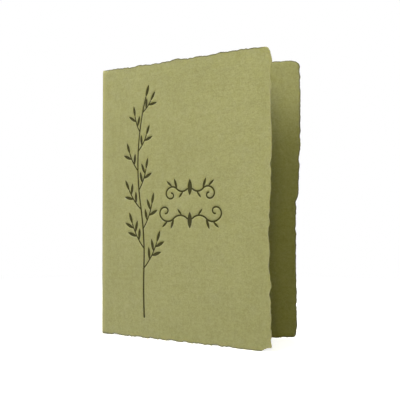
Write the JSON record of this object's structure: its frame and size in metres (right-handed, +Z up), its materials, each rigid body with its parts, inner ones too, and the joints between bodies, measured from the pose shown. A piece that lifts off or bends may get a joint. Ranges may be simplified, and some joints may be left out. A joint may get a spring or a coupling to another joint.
{
  "type": "folded greeting card",
  "caption": "Upright folded card of thick handmade paper with torn edges, standing partly open, its cover pressed with a leafy spray and a scroll ornament.",
  "frame": {"origin": "on the ground, in the middle of the standing card's footprint", "axes": "+Z up the fold, +X from the fold towards the free edges along the middle of the opening, cover on the -Y side, back leaf on the +Y side"},
  "size_m": [0.1153, 0.049, 0.1586],
  "materials": {
    "handmade_paper": "matte uncoated cotton paper, sage green"
  },
  "bodies": {
    "root": {"folded_card": "handmade_paper"}
  },
  "joints": []
}
